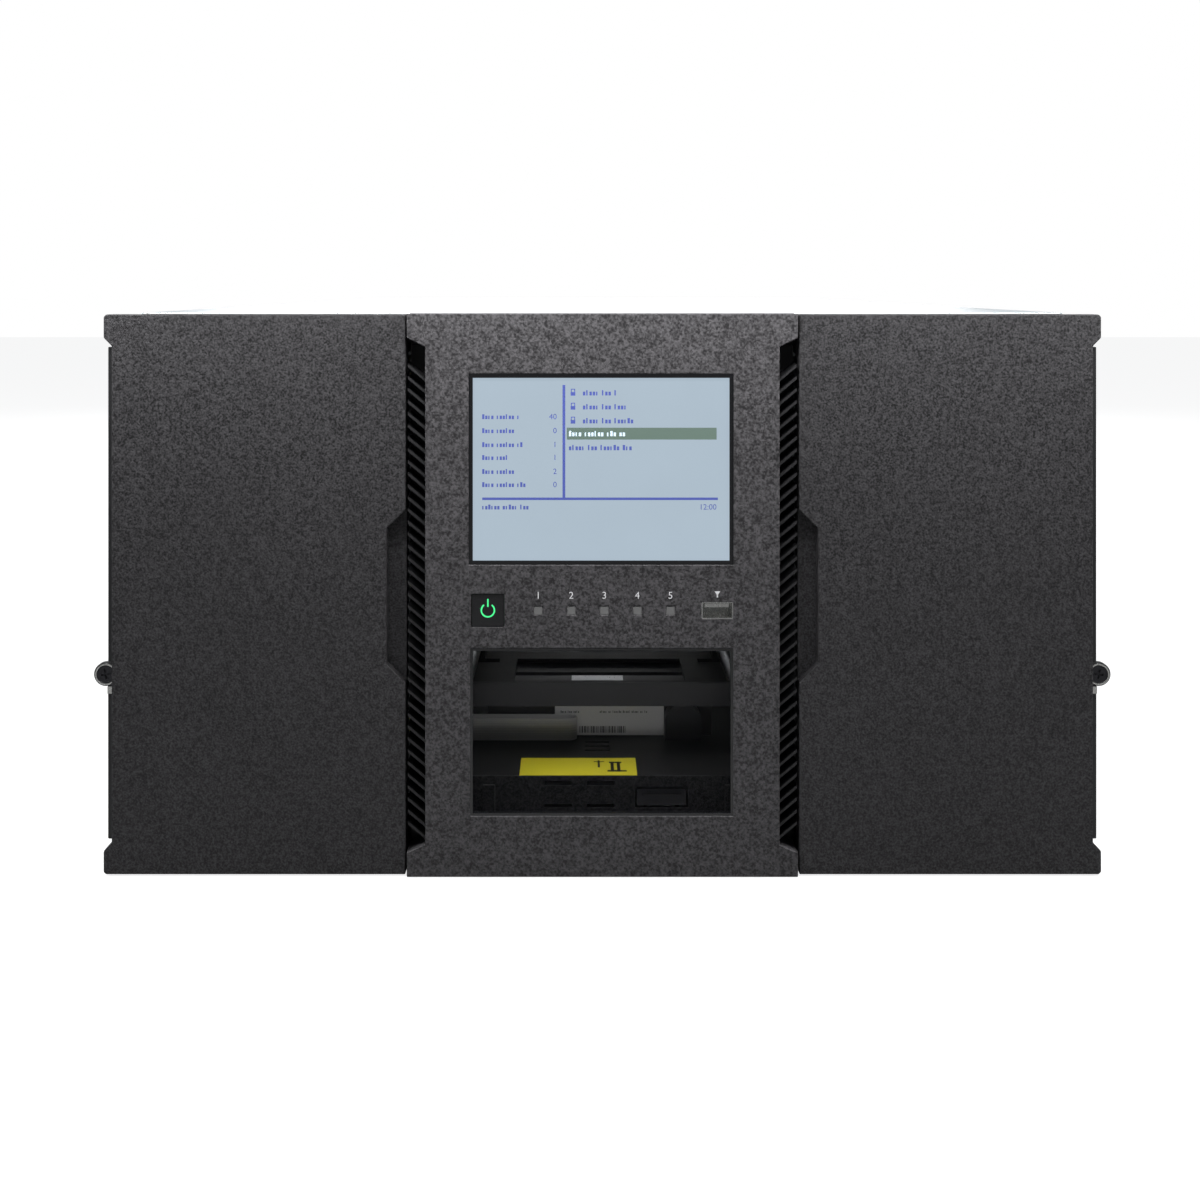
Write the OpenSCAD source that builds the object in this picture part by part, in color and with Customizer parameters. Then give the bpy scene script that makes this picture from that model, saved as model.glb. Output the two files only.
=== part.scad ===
// Rack-mounted data tape library: a six-unit case with two pull-out magazines,
// a fixed centre bezel, a cartridge robot between the magazines and a service side
// with one tape drive, two power supplies and a controller module.
// Units are mm. X runs across the front, -Y is the front, Z is up from the base.

/* [Case] */
// height of the case, six rack units less the gap between modules
case_h = 266; // [262:1:272]
// depth from the bezel's face to the handles at the back
overall_d = 873; // [865:1:900]
// width of the sheet-metal case
case_w = 446; // [444:1:450]
// thickness of the case sheets
sheet = 1.5; // [1.2:0.1:1.6]
// depth of the handles behind the rear panel
rear_setback = 18; // [16:1:20]
// distance from the middle to the rail screws, along the case
rail_y = 280; // [270:1:290]
// height of the rack screws above the base
screw_z = 94.6; // [90:0.1:100]
// distance of a rack screw outside the case
screw_out = 12.8; // [12:0.1:13]

/* [Front panels] */
// width of the centre bezel
bezel_w = 184.8; // [183:0.1:186]
// wall of the centre bezel
bezel_wall = 2.6; // [2:0.1:3]
// width of a magazine panel outside the case
panel_over = 9.3; // [8:0.1:10]
// extra width of the corner blocks on each side
corner_out = 3.7; // [3:0.1:4]
// height of the corner blocks
corner_h = 14.8; // [12:0.1:16]
// how far the magazine panels sit behind the bezel's face
panel_setback = 2; // [1:0.1:3]
// depth of a magazine panel
panel_d = 13.5; // [12:0.1:14]
// gap between a magazine panel and the bezel
panel_gap = 0.8; // [0.6:0.1:1.2]
// width of the louvred strips beside the bezel
vent_w = 8.7; // [7:0.1:9]
// distance from one louvre to the next
louvre_pitch = 5.7; // [5:0.1:7]

/* [Operator panel] */
// width of the display frame
display_w = 125; // [120:0.1:128]
// height of the display frame
display_h = 90.1; // [86:0.1:94]
// rim of the display frame
display_rim = 1.9; // [1.5:0.1:3]
// width of the viewing window
window_w = 124.1; // [120:0.1:128]
// height of the viewing window
window_h = 79; // [75:0.1:80]
// side of the square power button
button_side = 15; // [13:0.1:16]
// gap round the power button
button_gap = 0.4; // [0.3:0.05:0.6]
// travel of the power button
button_travel = 1.5; // [1:0.1:2]
// side of a square status lamp
lamp_side = 4.1; // [3:0.1:5]
// distance between the status lamps
lamp_pitch = 15.6; // [14:0.1:17]
// number of status lamps
lamps = 5; // [3:1:5]

/* [Magazines] */
// rows of cartridge cells in a magazine
rows = 8; // [6:1:8]
// height above the magazines for their cover and header
headroom = 22; // [21:0.1:23]
// columns of cartridge cells in a magazine
columns = 5; // [3:1:5]
// room behind a magazine panel, before the first column
front_room = 57; // [56:0.1:58]
// thickness of the dividers between the columns
divider_t = 2.4; // [2:0.1:3]
// width of a ledge under a cartridge's edge
ledge_w = 14; // [10:0.5:16]
// thickness of a ledge
ledge_t = 2; // [1.5:0.1:2]
// height of the deck the magazines run on
deck_z = 29.5; // [28:0.1:30]
// running clearance under a magazine and beside its runners
run_gap = 0.4; // [0.3:0.05:0.5]

/* [Robot] */
// height of the aisle floor
floor_z = 37; // [36:0.1:37]
// gear module of the racks and pinions
gear_m = 1.25; // [1.2:0.05:1.3]
// number of pinion teeth
pinion_teeth = 14; // [14:1:14]
// face width of a pinion
pinion_w = 5; // [4:0.5:6]
// radius of the guide rods
rod_r = 4; // [3.5:0.1:4.2]
// radius of the lift shafts
shaft_r = 3; // [2.5:0.1:3.2]
// radial clearance of rods, shafts and hubs
fit_gap = 0.05; // [0.02:0.01:0.08]
// radius of the picker's hub
hub_r = 6; // [5:0.1:7]

/* [Service side] */
// width of the tape drive
drive_w = 146; // [145:0.1:147]
// length of the tape drive
drive_len = 203; // [200:1:205]
// height of one drive bay
bay_pitch = 42; // [41.6:0.1:42]
// number of drive bays
bays = 5; // [3:1:5]
// length of a power supply
psu_len = 184; // [180:1:186]
// width of a power supply
psu_w = 73.5; // [70:0.5:74]
// height of a power supply
psu_h = 39; // [38:0.5:40]
// radius of a power supply's fan
fan_r = 16; // [14:0.5:16.5]
// length of the controller module
ctrl_len = 175; // [170:1:178]
// width of the controller module
ctrl_w = 110; // [100:1:112]
// height of the controller module
ctrl_h = 38; // [36:1:40]

/* [Hidden] */
$fn = 48;
y_front = -overall_d / 2;
y_rear = overall_d / 2;
hx = case_w / 2;
in_x = hx - sheet;
y_panel = y_front + panel_setback;
y_shell = y_panel + panel_d;
y_case = y_shell + 3;
y_bezel = y_case - 1;
y_back = y_rear - rear_setback;
top_z = case_h - sheet;
bx = bezel_w / 2;
px = bx + panel_gap;
pw = hx + panel_over;
skin = 1.8;
y_skin = y_panel + skin;
ear_t = 2;
y_ear = y_skin + 2.2;
screw_x = hx + screw_out;
ear_w = panel_over + 2.9;
shank_r = 2.6;
pivot_r = 1.2;
lever_z = 23.4;
ring_r = 5.2;
boss_r = 5.6;
head_r = 4.2;
stud_r = 2.4;
display_x = -0.6;
display_z = 0.7235 * case_h;
window_x = -0.35;
window_z = 0.25714 * case_h;
button_x = display_x - 53.5;
panel_row_z = 0.47293 * case_h;
lamp_x = 0.9;
usb_x = display_x + 54.85;
usb_w = 14.9;
usb_h = 8;
face_t = 3;
cross_y = y_front + 33;
lever_y = cross_y + 6;
aisle_x = bx + 1.1;
tray_z = deck_z + 6 + run_gap + 0.1;
cell_z = tray_z + 2 + ledge_t;
mag_x0 = aisle_x + 3.5;
mag_x1 = in_x - 2.5;
mag_top = case_h - headroom;
row_pitch = (mag_top - cell_z) / rows;
drive_y = y_back - drive_len - 6.5;
drive_x = drive_w / 2;
bay_x = drive_x + 3.5;
last_div = drive_y - 28;
first_div = y_shell + front_room;
column_pitch = (last_div - first_div) / columns;
mag_y1 = last_div + divider_t / 2;
runner_x = [mag_x0 + 16, mag_x1 - 16];
runner_w = 6;
sled_y = first_div + 104.5;
pinion_r = gear_m * pinion_teeth / 2;
drive_axis_z = floor_z + 36.4;
rack_x = aisle_x - 4.5;
shaft_x = rack_x - pinion_r;
rod_x = shaft_x - 9.75;
end_x = shaft_x + 5.75;
plate_x = rod_x + 6;
end_y0 = cross_y + 13.5;
end_y1 = last_div + 4;
bay_z = floor_z + 2;
psu_x = -hx + 73;
psu_z = [8, 8 + psu_h + 6];
psu_y = y_back + 1 - psu_len;
fan_x = 17;
inlet_x = -19;
ctrl_x = hx - 67;
ctrl_z = 10;
ctrl_y = y_back - ctrl_len;
seam = 0.02;

// Which piece to draw.

steel = [0.58, 0.61, 0.63];
black = [0.07, 0.07, 0.08];
plastic = [0.23, 0.22, 0.24];

// a box given by its limits along each axis
module span(x, y, z) {
    translate([x[0], y[0], z[0]])
        cube([x[1] - x[0], y[1] - y[0], z[1] - z[0]]);
}

// the same thing on both sides of the middle
module both() {
    children();
    mirror([1, 0, 0])
        children();
}

// a cylinder along Y from y0 to y1
module rod_y(r, x, z, y0, y1) {
    translate([x, y0, z])
        rotate([-90, 0, 0])
            cylinder(r = r, h = y1 - y0);
}

// a flat shape in X and Z, given thickness from y0 to y1
module cut_y(y0, y1) {
    translate([0, y1, 0])
        rotate([90, 0, 0])
            linear_extrude(y1 - y0)
                children();
}

// a rectangular ring in X and Z
module ring_y(x, z, rim, y0, y1) {
    difference() {
        span(x, [y0, y1], z);
        span([x[0] + rim, x[1] - rim], [y0 - 1, y1 + 1], [z[0] + rim, z[1] - rim]);
    }
}

// ---------- case ----------

module base_pan() {
    color(steel)
        difference() {
            span([-hx, hx], [y_case, y_back], [0, sheet]);
            for (x = [-180 : 60 : 180])
                span([x - 14, x + 14], [y_back - 60, y_back - 57], [-1, sheet + 1]);
        }
}

module side_sheet() {
    difference() {
        span([in_x, hx], [y_case, y_back], [sheet, top_z]);
        for (y = [-rail_y, rail_y], z = [16, case_h - 8])
            translate([in_x - 1, y, z])
                rotate([0, 90, 0])
                    cylinder(r = 2.6, h = sheet + 2);
        for (y = [y_back - 158.5 : 14 : y_back - 32], z = [120, 190])
            span([in_x - 1, hx + 1], [y - 2, y + 2], [z, z + 40]);
    }
}

module side_panels() {
    color(steel)
        both()
            side_sheet();
}

module top_cover() {
    color(steel)
        difference() {
            union() {
                span([-hx, hx], [y_case, y_back], [top_z, case_h]);
                span([-in_x, in_x], [y_bezel, y_case], [top_z, case_h]);
            }
            for (x = [-46.9, 44.6])
                span([x - 1.5, x + 1.5], [y_bezel - 1, y_bezel + 3], [top_z - 1, case_h + 1]);
            span([-125.6, -124.4], [y_case + 12, y_case + 600], [case_h - 0.4, case_h + 1]);
        }
}

module supply_opening(i) {
    span([psu_x - psu_w / 2 - 1, psu_x + psu_w / 2 + 1], [y_back - 5, y_back + 5],
        [psu_z[i] - 1, psu_z[i] + psu_h + 1]);
}

module rear_panel() {
    bay_top = bay_z + bays * bay_pitch;
    color(steel)
        difference() {
            span([-in_x, in_x], [y_back - sheet, y_back], [sheet, top_z]);
            span([-bay_x + 0.5, bay_x - 0.5], [y_back - 5, y_back + 5], [bay_z, bay_top]);
            for (i = [0, 1])
                supply_opening(i);
            span([ctrl_x - ctrl_w / 2 - 1, ctrl_x + ctrl_w / 2 + 1],
                [y_back - 5, y_back + 5], [ctrl_z - 1, ctrl_z + ctrl_h + 1]);
            for (x = [hx - 118 : 12 : hx - 21], z = [90, 160])
                both()
                    span([x - 3, x + 3], [y_back - 5, y_back + 5], [z + 20, z + 75]);
        }
}

// ---------- front frame and floor ----------

module front_crossmember() {
    y = [cross_y, cross_y + sheet];
    cut = [cross_y - 1, cross_y + sheet + 1];
    slots = [[-28.2, -14.6], [-7.1, 6.4]];
    color(plastic)
        difference() {
            union() {
                span([-in_x, in_x], y, [sheet, deck_z - sheet]);
                span([-aisle_x, aisle_x], y, [sheet, floor_z]);
                for (x = [-58.5, 61])
                    span([x, x + 5.9], [cross_y - 1.2, cross_y], [18, 32.8]);
            }
            for (s = slots) {
                span(s, cut, [32.3, 34.5]);
                span(s, cut, [21.3, 23.2]);
            }
            span([16.6, 42.8], cut, [21.2, 31.3]);
        }
    color(plastic)
        difference() {
            for (x = [21, 36.6]) {
                span([x, x + 1.8], [cross_y + sheet, lever_y + 2.4], [18.5, 21]);
                span([x, x + 1.8], [lever_y - 2.4, lever_y + 2.4], [21, lever_z]);
                translate([x, lever_y, lever_z])
                    rotate([0, 90, 0])
                        cylinder(r = 2.4, h = 1.8);
            }
            translate([20, lever_y, lever_z])
                rotate([0, 90, 0])
                    cylinder(r = pivot_r + fit_gap, h = 20);
        }
}

module front_header() {
    color(black) {
        difference() {
            union() {
                span([-in_x, in_x], [y_case, y_case + sheet], [mag_top + 8, top_z]);
                span([-in_x, in_x], [y_case, cross_y], [mag_top + 8, mag_top + 8 + sheet]);
            }
            both()
                span([hx - 83, hx - 43], [y_case - 1, y_case + sheet + 1],
                    [mag_top + 13, top_z - 3]);
        }
    }
}

module post() {
    x1 = bx - 0.4;
    span([x1 - 12, x1], [y_bezel, y_bezel + sheet], [sheet, mag_top + 8]);
    span([x1 - sheet, x1], [y_bezel + sheet, cross_y], [sheet, mag_top + 8]);
}

module aisle_posts() {
    color(black)
        both()
            difference() {
                post();
                span([bx - 20, bx + 3], [y_case, cross_y], [-1, sheet]);
            }
}

module robot_floor() {
    y0 = cross_y + sheet;
    color(black)
        difference() {
            span([-aisle_x, aisle_x], [y0, y_back - sheet], [floor_z - sheet, floor_z]);
            for (i = [0 : 2])
                span([-8, 5], [y0 + 38 + 7 * i, y0 + 40.5 + 7 * i],
                    [floor_z - sheet - 1, floor_z + 1]);
        }
}

module deck() {
    y = [cross_y + sheet, last_div + 9];
    span([aisle_x - sheet, in_x], y, [deck_z - sheet, deck_z]);
    span([aisle_x - sheet, aisle_x], y, [sheet, deck_z - sheet]);
    span([aisle_x - sheet, aisle_x], y, [deck_z, floor_z - sheet]);
}

module magazine_decks() {
    color(steel)
        both()
            deck();
}

module magazine_rails() {
    color(steel)
        both()
            for (x = runner_x)
                span([x - runner_w / 2, x + runner_w / 2], [cross_y + 4, mag_y1 - 4],
                    [deck_z, tray_z - run_gap]);
}

// ---------- racks of the lift ----------

// outline of a vertical rack; its teeth point to -X from the root line
module rack_outline(z0, z1) {
    p = PI * gear_m;
    root = rack_x + 1.25 * gear_m;
    tip = rack_x - gear_m;
    n = floor((z1 - drive_axis_z) / p);
    m = floor((drive_axis_z - z0) / p);
    teeth = [for (i = [-m : n - 1]) let (c = drive_axis_z + (i + 0.5) * p)
        each [[root, c - 0.31 * p], [tip, c - 0.11 * p], [tip, c + 0.11 * p],
            [root, c + 0.31 * p]]];
    polygon(concat([[root + 3, z0], [root, z0]], teeth, [[root, z1], [root + 3, z1]]));
}

module gear_racks() {
    color(steel)
        both()
            for (y = [end_y0 - 9, end_y1 + 4])
                cut_y(y, y + 9)
                    rack_outline(floor_z, top_z);
}

module main_board() {
    x = [aisle_x + 11.5, in_x - 16.5];
    y = [y_shell + 51, first_div + 304];
    xc = x[0] + 20;
    yc = (y[0] + y[1]) / 2 - 35;
    color([0.05, 0.25, 0.14]) {
        span(x, y, [8, 9.6]);
        for (px = [x[0] + 7, x[1] - 7], py = [y[0] + 10, (y[0] + y[1]) / 2, y[1] - 10])
            translate([px, py, sheet])
                cylinder(r = 3, h = 8 - sheet);
    }
    color([0.08, 0.08, 0.09]) {
        span([xc, xc + 35], [yc, yc + 35], [9.6, 12]);
        span([xc, xc + 25], [yc + 90, yc + 115], [9.6, 11.5]);
        span([x[1] - 30, x[1] - 10], [y[0] + 30, y[1] - 60], [9.6, 15]);
    }
    color([0.7, 0.72, 0.74])
        for (i = [0 : 6])
            span([xc + 1 + 5 * i, xc + 3 + 5 * i], [yc + 1, yc + 34], [12, 22]);
}

module lock_label() {
    color([0.95, 0.9, 0.15])
        span([-40.6, 17.7], [cross_y + 0.4, cross_y + 27.2], [floor_z, floor_z + 0.3]);
}

// ---------- rack ears ----------

module ear() {
    z0 = corner_h + 1.2;
    z1 = case_h - corner_h - 1.2;
    difference() {
        union() {
            span([hx, hx + ear_w], [y_ear, y_ear + ear_t], [z0, z1]);
            span([hx, hx + ear_t], [y_ear + ear_t, y_ear + 44], [z0, z1]);
            rod_y(boss_r, screw_x, screw_z, y_ear - 1.3, y_ear + ear_t);
        }
        rod_y(shank_r + fit_gap, screw_x, screw_z, y_ear - 5, y_ear + ear_t + 5);
        rod_y(ring_r, screw_x, screw_z, y_ear - 5, y_ear);
        for (z = [40, 133, 226])
            translate([hx - 1, y_ear + 30, z])
                rotate([0, 90, 0])
                    cylinder(r = 2.1, h = ear_t + 2);
    }
}

module rack_ears() {
    color(black)
        both()
            ear();
}

module ferrule() {
    difference() {
        rod_y(ring_r, screw_x, screw_z, y_ear - 1.7, y_ear);
        rod_y(head_r + fit_gap, screw_x, screw_z, y_ear - 3, y_ear + 1);
    }
}

module screw_ferrules() {
    color([0.72, 0.73, 0.74])
        both()
            ferrule();
}

module ear_clips() {
    color([0.68, 0.7, 0.7])
        both()
            span([pw + 0.5, pw + 2.9], [y_ear - 0.8, y_ear], [screw_z - 9.4, screw_z - 6]);
}

module captive_screw() {
    difference() {
        union() {
            rod_y(head_r, screw_x, screw_z, y_ear - 1.3, y_ear - 0.02);
            rod_y(shank_r, screw_x, screw_z, y_ear - 0.02, y_ear + ear_t + 0.5);
            rod_y(stud_r, screw_x, screw_z, y_ear + ear_t + 0.5, y_ear + 26);
        }
        for (a = [0, 90])
            translate([screw_x, y_ear - 1.3, screw_z])
                rotate([0, a + 10, 0])
                    cube([4.6, 1.6, 1], center = true);
    }
}

module left_captive_screw() {
    color([0.2, 0.2, 0.22])
        mirror([1, 0, 0])
            captive_screw();
}

module right_captive_screw() {
    color([0.2, 0.2, 0.22])
        captive_screw();
}

// ---------- centre bezel ----------

module bezel_outline(d) {
    z0 = 11.5;
    z1 = 15.3;
    side = [[bx - d, d], [bx - d, z0 - d / 2], [bx - vent_w - d, z1],
        [bx - vent_w - d, case_h - 15.8], [bx - d, case_h - z0 + d / 2], [bx - d, case_h - d]];
    mirrored = [for (i = [5 : -1 : 0]) [-side[i][0], side[i][1]]];
    polygon(concat(side, mirrored));
}

module centred(x, z, w, h, y0, y1) {
    span([x - w / 2, x + w / 2], [y0, y1], [z - h / 2, z + h / 2]);
}

module front_bezel() {
    y0 = y_front - 1;
    y1 = y_front + face_t + 1;
    color(plastic)
        difference() {
            cut_y(y_front, y_bezel)
                bezel_outline(0);
            span([-bx + vent_w + bezel_wall, bx - vent_w - bezel_wall],
                [y_front + face_t, y_bezel + 1], [bezel_wall, case_h - bezel_wall]);
            centred(display_x, display_z, display_w, display_h, y0, y1);
            centred(window_x, window_z, window_w, window_h, y0, y1);
            centred(button_x, panel_row_z, button_side + 2 * button_gap,
                button_side + 2 * button_gap, y0, y1);
            for (i = [0 : lamps - 1])
                centred(lamp_x + (i - (lamps - 1) / 2) * lamp_pitch, panel_row_z,
                    lamp_side, lamp_side, y0, y1);
            centred(usb_x, panel_row_z, usb_w, usb_h, y0, y1);
        }
}

module louvre(z) {
    polygon([[bx - 0.3, z], [bx - vent_w, z - 7], [bx - vent_w, z - 8.4], [bx - 0.3, z - 1.4]]);
}

module vent_strip() {
    z0 = 24;
    n = floor((case_h - 16 - z0) / louvre_pitch);
    span([bx - vent_w, bx - 0.3], [y_bezel - 2, y_bezel], [15.3, case_h - 15.8]);
    cut_y(y_front + 2.4, y_bezel - 2)
        for (i = [0 : n - 1])
            louvre(z0 + i * louvre_pitch + 1.4);
}

module vent_strips() {
    color(black)
        both()
            vent_strip();
}

module window_pane() {
    color([0.1, 0.1, 0.12, 0.4])
        centred(window_x, window_z, window_w + 6, window_h + 6,
            y_front + face_t, y_front + face_t + 2.5);
}

module window_frame() {
    w = window_w / 2;
    h = window_h / 2;
    color(black)
        ring_y([window_x - w, window_x + w], [window_z - h, window_z + h], 1.2,
            y_front + 0.3, y_front + face_t);
}

module display_frame() {
    w = display_w / 2;
    h = display_h / 2;
    color(black)
        ring_y([display_x - w, display_x + w], [display_z - h, display_z + h], display_rim,
            y_front + 0.3, y_front + face_t);
}

module display_panel() {
    w = display_w - 2 * display_rim;
    h = display_h - 2 * display_rim;
    color([0.66, 0.72, 0.77])
        union() {
            centred(display_x, display_z, w, h, y_front + 1.3, y_front + face_t);
            centred(display_x, display_z, display_w + 4, display_h + 4,
                y_front + face_t, y_front + face_t + 4);
        }
}

module display_board() {
    y0 = y_front + face_t + 4;
    color([0.05, 0.25, 0.14])
        difference() {
            span([button_x - 15.9, usb_x + 15.75], [y0, y0 + 1.6],
                [panel_row_z - 10.8, display_z + display_h / 2 + 3.5]);
            centred(usb_x, panel_row_z, usb_w + 1, usb_h + 1, y0 - 1, y0 + 3);
        }
    color(steel)
        for (x = [button_x - 12.9, usb_x + 12.75], z = [panel_row_z - 6.8, panel_row_z + 15.2])
            rod_y(2.5, x, z, y_front + face_t, y0);
}

module status_lamps() {
    color([0.45, 0.45, 0.46])
        for (i = [0 : lamps - 1])
            centred(lamp_x + (i - (lamps - 1) / 2) * lamp_pitch, panel_row_z,
                lamp_side, lamp_side, y_front + 0.3, y_front + face_t + 4);
}

module usb_port() {
    y0 = y_front + 0.4;
    w = usb_w / 2;
    h = usb_h / 2;
    color([0.75, 0.76, 0.78]) {
        ring_y([usb_x - w, usb_x + w], [panel_row_z - h, panel_row_z + h], 0.5, y0, y0 + 14);
        span([usb_x - w, usb_x + w], [y0 + 14, y0 + 16], [panel_row_z - h, panel_row_z + h]);
    }
    color([0.9, 0.9, 0.88])
        span([usb_x - 5.6, usb_x + 5.6], [y0 + 3, y0 + 14], [panel_row_z + 0.9, panel_row_z + 2.7]);
}

module power_button() {
    color(black)
        centred(button_x, panel_row_z, button_side, button_side,
            y_front + 0.8, y_front + face_t);
    color(plastic)
        rod_y(3, button_x, panel_row_z, y_front + face_t,
            y_front + face_t + 4 - button_travel - 0.4);
}

module lock_lever() {
    color([0.35, 0.35, 0.37])
        difference() {
            union() {
                span([17.6, 41.8], [cross_y + 0.3, cross_y + 3], [22.4, 30.4]);
                span([24, 35.4], [cross_y + 3, lever_y + 2], [21.8, 25]);
                translate([20.8, lever_y, lever_z])
                    rotate([0, 90, 0])
                        cylinder(r = pivot_r, h = 17.8);
            }
            span([20, 39.4], [cross_y - 1, cross_y + 1.2], [27.4, 29.4]);
        }
}

// ---------- magazines ----------

module grip_outline(d) {
    polygon([[px - 1, 90.8 + d], [px, 90.8 + d], [px + 9 - d, 99.8 + d], [px + 9 - d, 164.4 - d],
        [px, 173.3 - d], [px - 1, 173.3 - d]]);
}

module corner_outline(x0) {
    polygon([[x0, 0.5], [pw + corner_out - 1, 0.5], [pw + corner_out, 1.5],
        [pw + corner_out, corner_h - corner_out + 0.5], [pw, corner_h + 0.5], [x0, corner_h + 0.5]]);
}

// a moulded front skin, its hollow shell and the backs of its corner blocks,
// with a hairline seam between them
module panel_shape() {
    grip_d = 6;
    y1 = y_skin + seam;
    difference() {
        union() {
            span([px, pw], [y_panel, y_skin], [0.5, case_h - 0.5]);
            for (m = [0, 1])
                translate([0, 0, m * case_h])
                    mirror([0, 0, m])
                        cut_y(y_panel, y_skin)
                            corner_outline(in_x);
        }
        cut_y(y_panel - 1, y_skin + 1)
            grip_outline(0);
    }
    for (m = [0, 1])
        translate([0, 0, m * case_h])
            mirror([0, 0, m])
                cut_y(y1, y_panel + 9)
                    corner_outline(in_x + seam);
    difference() {
        span([px, in_x], [y1, y_shell], [0.5, case_h - 0.5]);
        difference() {
            span([px + 2, in_x - 2], [y1 + 0.6, y_shell + 1], [2.5, case_h - 2.5]);
            cut_y(y1, y_panel + grip_d + 1.6)
                grip_outline(-1.8);
        }
        cut_y(y1 - 1, y_panel + grip_d)
            grip_outline(0);
    }
}

module left_magazine_panel() {
    color(plastic)
        mirror([1, 0, 0])
            panel_shape();
}

module right_magazine_panel() {
    color(plastic)
        panel_shape();
}

// The tray is made of separate sheets, with a hairline seam between them.
module tray_shape() {
    wall_x = mag_x1 - sheet;
    span([mag_x0, mag_x1], [y_shell, mag_y1], [tray_z, tray_z + 2]);
    span([wall_x, mag_x1], [y_shell, mag_y1], [tray_z + 2 + seam, mag_top - seam]);
    span([mag_x0, mag_x1], [y_shell, mag_y1], [mag_top, mag_top + sheet]);
    span([mag_x0, wall_x - seam], [y_shell, y_shell + sheet], [tray_z + 2 + seam, mag_top - seam]);
    for (i = [0 : columns]) {
        y = first_div + i * column_pitch;
        span([mag_x0, wall_x - seam], [y - divider_t / 2, y + divider_t / 2],
            [tray_z + 2 + seam, mag_top - seam]);
    }
    for (x = runner_x, s = [-1, 1])
        translate([x + s * (runner_w / 2 + run_gap + 0.8), 0, 0])
            span([-0.8, 0.8], [cross_y + 4, mag_y1], [deck_z + 1, tray_z - seam]);
}

module left_magazine_tray() {
    color(steel)
        mirror([1, 0, 0])
            tray_shape();
}

module right_magazine_tray() {
    color(steel)
        tray_shape();
}

module ledges_shape() {
    for (c = [0 : columns - 1], r = [0 : rows - 1]) {
        y0 = first_div + c * column_pitch + divider_t / 2;
        y1 = y0 + column_pitch - divider_t;
        z = cell_z + r * row_pitch;
        span([mag_x0 + 2, mag_x1 - sheet - seam], [y0 + seam, y0 + ledge_w], [z - ledge_t, z]);
        span([mag_x0 + 2, mag_x1 - sheet - seam], [y1 - ledge_w, y1 - seam], [z - ledge_t, z]);
    }
}

module left_magazine_ledges() {
    color(black)
        mirror([1, 0, 0])
            ledges_shape();
}

module right_magazine_ledges() {
    color(black)
        ledges_shape();
}

// ---------- robot: lifting carriage ----------

module end_plate(y0) {
    difference() {
        span([-end_x, end_x], [y0, y0 + 3], [drive_axis_z - 5.8, drive_axis_z + 6.2]);
        both() {
            rod_y(rod_r, rod_x, drive_axis_z, y0 - 1, y0 + 4);
            rod_y(shaft_r + fit_gap, shaft_x, drive_axis_z, y0 - 1, y0 + 4);
        }
    }
}

module carriage_frame() {
    color(black) {
        end_plate(end_y0);
        end_plate(end_y1);
        both()
            span([end_x - sheet, end_x], [end_y0 + 3, end_y1],
                [drive_axis_z - 5.8, drive_axis_z + 6.2]);
    }
}

module carriage_rods() {
    color([0.75, 0.76, 0.78])
        both()
            rod_y(rod_r, rod_x, drive_axis_z, end_y0, end_y1 + 3);
}

module lift_motor() {
    color([0.15, 0.15, 0.16]) {
        rod_y(6, 0, drive_axis_z, end_y1 - 22, end_y1);
        span([-9, 9], [end_y1 - 4, end_y1], [drive_axis_z - 5.8, drive_axis_z + 6.2]);
    }
}

// a pinion pressed on its shaft along Y, with one tooth pointing to +X
module pinion(y) {
    p = 360 / pinion_teeth;
    root = pinion_r - 1.25 * gear_m;
    tip = pinion_r + gear_m;
    pts = [for (i = [0 : pinion_teeth - 1]) let (a = i * p)
        each [[root * cos(a - 0.3 * p), root * sin(a - 0.3 * p)],
            [tip * cos(a - 0.09 * p), tip * sin(a - 0.09 * p)],
            [tip * cos(a + 0.09 * p), tip * sin(a + 0.09 * p)],
            [root * cos(a + 0.3 * p), root * sin(a + 0.3 * p)]]];
    translate([shaft_x, y + pinion_w, drive_axis_z])
        rotate([90, 0, 0])
            linear_extrude(pinion_w)
                difference() {
                    polygon(pts);
                    circle(r = shaft_r + seam);
                }
}

module lift_shaft() {
    rod_y(shaft_r, shaft_x, drive_axis_z, end_y0 - 8, end_y1 + 12);
    pinion(end_y0 - 7);
    pinion(end_y1 + 6);
}

module left_lift_shaft() {
    color([0.6, 0.61, 0.63])
        mirror([1, 0, 0])
            lift_shaft();
}

module right_lift_shaft() {
    color([0.6, 0.61, 0.63])
        lift_shaft();
}

// ---------- robot: sled, picker and gripper ----------

plate_z = floor_z + 27.9;
bearing_r = rod_r + 2;

module sled_frame() {
    front = sled_y - 80;
    color(black)
        difference() {
            union() {
                span([-plate_x, plate_x], [sled_y - 32, sled_y + 32], [plate_z, plate_z + 2]);
                both() {
                    for (y = [sled_y - 32, sled_y + 20])
                        span([rod_x - bearing_r, rod_x + bearing_r], [y, y + 12],
                            [plate_z + 2, drive_axis_z + bearing_r]);
                    span([46, 56], [front, sled_y - 32], [plate_z, plate_z + 2]);
                }
                span([-60, 60], [front, front + 1.6], [floor_z + 1, plate_z + 2]);
            }
            both()
                rod_y(rod_r + fit_gap, rod_x, drive_axis_z, sled_y - 40, sled_y + 40);
            translate([0, sled_y, plate_z - 1])
                cylinder(r = hub_r + fit_gap, h = 4);
        }
}

module sled_motor() {
    front = sled_y - 80;
    color([0.16, 0.16, 0.18]) {
        rod_y(9.6, 44.2, floor_z + 10.8, front - 10, front);
        span([34.6, 53.8], [front - 10, front], [floor_z + 1, floor_z + 10.8]);
    }
}

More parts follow.
